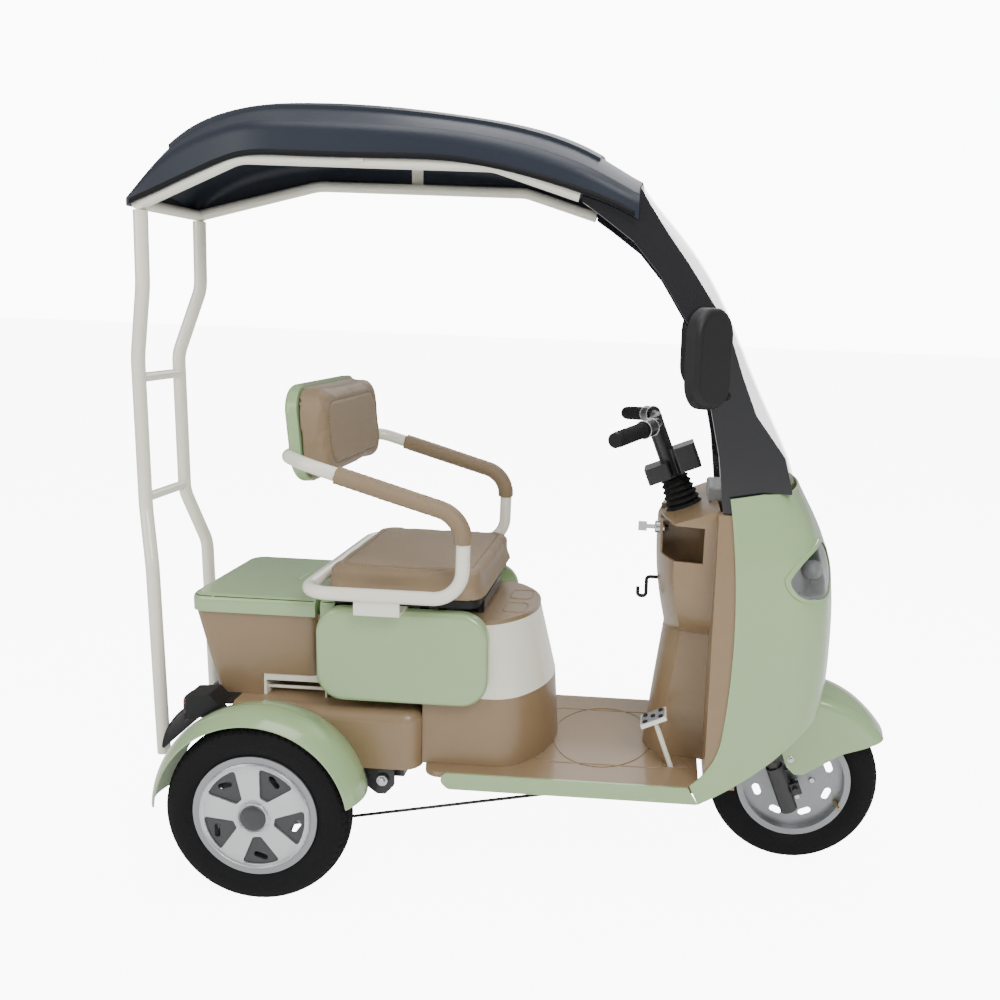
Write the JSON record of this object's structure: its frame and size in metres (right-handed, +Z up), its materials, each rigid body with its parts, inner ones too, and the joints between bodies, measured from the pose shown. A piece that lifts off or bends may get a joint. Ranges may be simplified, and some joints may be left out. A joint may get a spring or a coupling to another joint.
{
  "type": "three-wheeled electric motorcycle",
  "caption": "Covered electric leisure trike with a swivel fork, foot board, padded seat with arm loops, storage box with a hinged lid, and a roof on a rear ladder",
  "frame": {"origin": "on the ground, midway between the two sides and between the rear ladder and the front tyre", "axes": "+X forward, +Y to the rider's left, +Z up"},
  "size_m": [1.7708, 0.704, 1.7375],
  "materials": {
    "tyre": "dull tyre rubber",
    "rim_steel": "silver painted steel",
    "cover_silver": "bright silver moulding",
    "insert_dark": "dark grey moulding",
    "grey_matt": "light grey moulding",
    "brass_lock": "steel lock face",
    "amber_lens": "amber reflector",
    "frame_black": "satin black paint",
    "battery": "matte battery case",
    "cream_tube": "gloss cream paint",
    "sage_gloss": "gloss sage green moulding",
    "cream_gloss": "gloss cream moulding",
    "tan_satin": "satin tan moulding",
    "canopy_shell": "satin dark blue grey moulding",
    "black_gloss": "gloss black moulding",
    "black_matt": "matt black moulding",
    "clear_screen": "clear screen with a green tint",
    "clear_lens": "clear lens",
    "rubber": "black rubber",
    "leather": "soft brown leatherette"
  },
  "bodies": {
    "vehicle": {"chassis_frame": "frame_black", "pivot_brackets": "frame_black", "rear_axle": "frame_black", "battery_block": "battery", "rear_shocks": "frame_black", "brake_rods": "frame_black", "floor_board": "tan_satin", "floor_skirts": "sage_gloss", "pedestal_base": "tan_satin", "pedestal_panel": "cream_gloss", "pedestal_tray": "tan_satin", "side_panels": "sage_gloss", "rear_deck": "tan_satin", "rear_fenders": "sage_gloss", "rear_valance": "black_matt", "tail_lamp_housings": "black_matt", "tail_lamp_lenses": "clear_lens", "lid_strip": "sage_gloss", "box_body": "tan_satin", "box_rail": "cream_tube", "seat_frame": "cream_tube", "arm_pads": "leather", "seat_pan": "black_matt", "seat_cushion": "leather", "backrest_shell": "sage_gloss", "backrest_pad": "leather", "rear_ladder": "cream_tube", "roof_frame": "cream_tube", "canopy": "canopy_shell", "pillars": "black_gloss", "windscreen": "clear_screen", "mirrors": "black_matt", "front_shield": "sage_gloss", "lamp_bezels": "sage_gloss", "lamp_lenses": "clear_lens", "lamp_bowls": "black_matt", "leg_liner": "tan_satin", "instrument_pod": "grey_matt", "ignition_lock": "brass_lock", "bag_hook": "black_matt", "brake_pedal": "cream_tube"},
    "lid": {"box_lid": "sage_gloss"},
    "steering": {"front_fork": "frame_black", "fork_reflectors": "amber_lens", "handlebar": "frame_black", "grips": "rubber", "steering_gaiter": "rubber", "front_fender": "sage_gloss"},
    "front_wheel": {"front_tyre": "tyre", "front_rim": "rim_steel"},
    "rear_wheel_right": {"rear_tyre_right": "tyre", "rear_rim_right": "rim_steel", "rear_cover_right": "cover_silver", "rear_insert_right": "insert_dark"},
    "rear_wheel_left": {"rear_tyre_left": "tyre", "rear_rim_left": "rim_steel", "rear_cover_left": "cover_silver", "rear_insert_left": "insert_dark"}
  },
  "joints": [
    {"name": "steering", "type": "hinge", "parent": "vehicle", "child": "steering", "pos_m": [0.65292, 0, 0.19397], "axis": [-0.3714, 0, 0.9285], "range_deg": [-38, 38]},
    {"name": "front_wheel_spin", "type": "hinge", "parent": "steering", "child": "front_wheel", "pos_m": [0.6805, 0, 0.205], "axis": [0, 1, 0], "continuous": true},
    {"name": "rear_wheel_right_spin", "type": "hinge", "parent": "vehicle", "child": "rear_wheel_right", "pos_m": [-0.5215, -0.305, 0.205], "axis": [0, 1, 0], "continuous": true},
    {"name": "rear_wheel_left_spin", "type": "hinge", "parent": "vehicle", "child": "rear_wheel_left", "pos_m": [-0.5215, 0.305, 0.205], "axis": [0, 1, 0], "continuous": true},
    {"name": "lid_hinge", "type": "hinge", "parent": "vehicle", "child": "lid", "pos_m": [-0.4355, 0, 0.644], "axis": [0, 1, 0], "range_deg": [0, 60]}
  ]
}
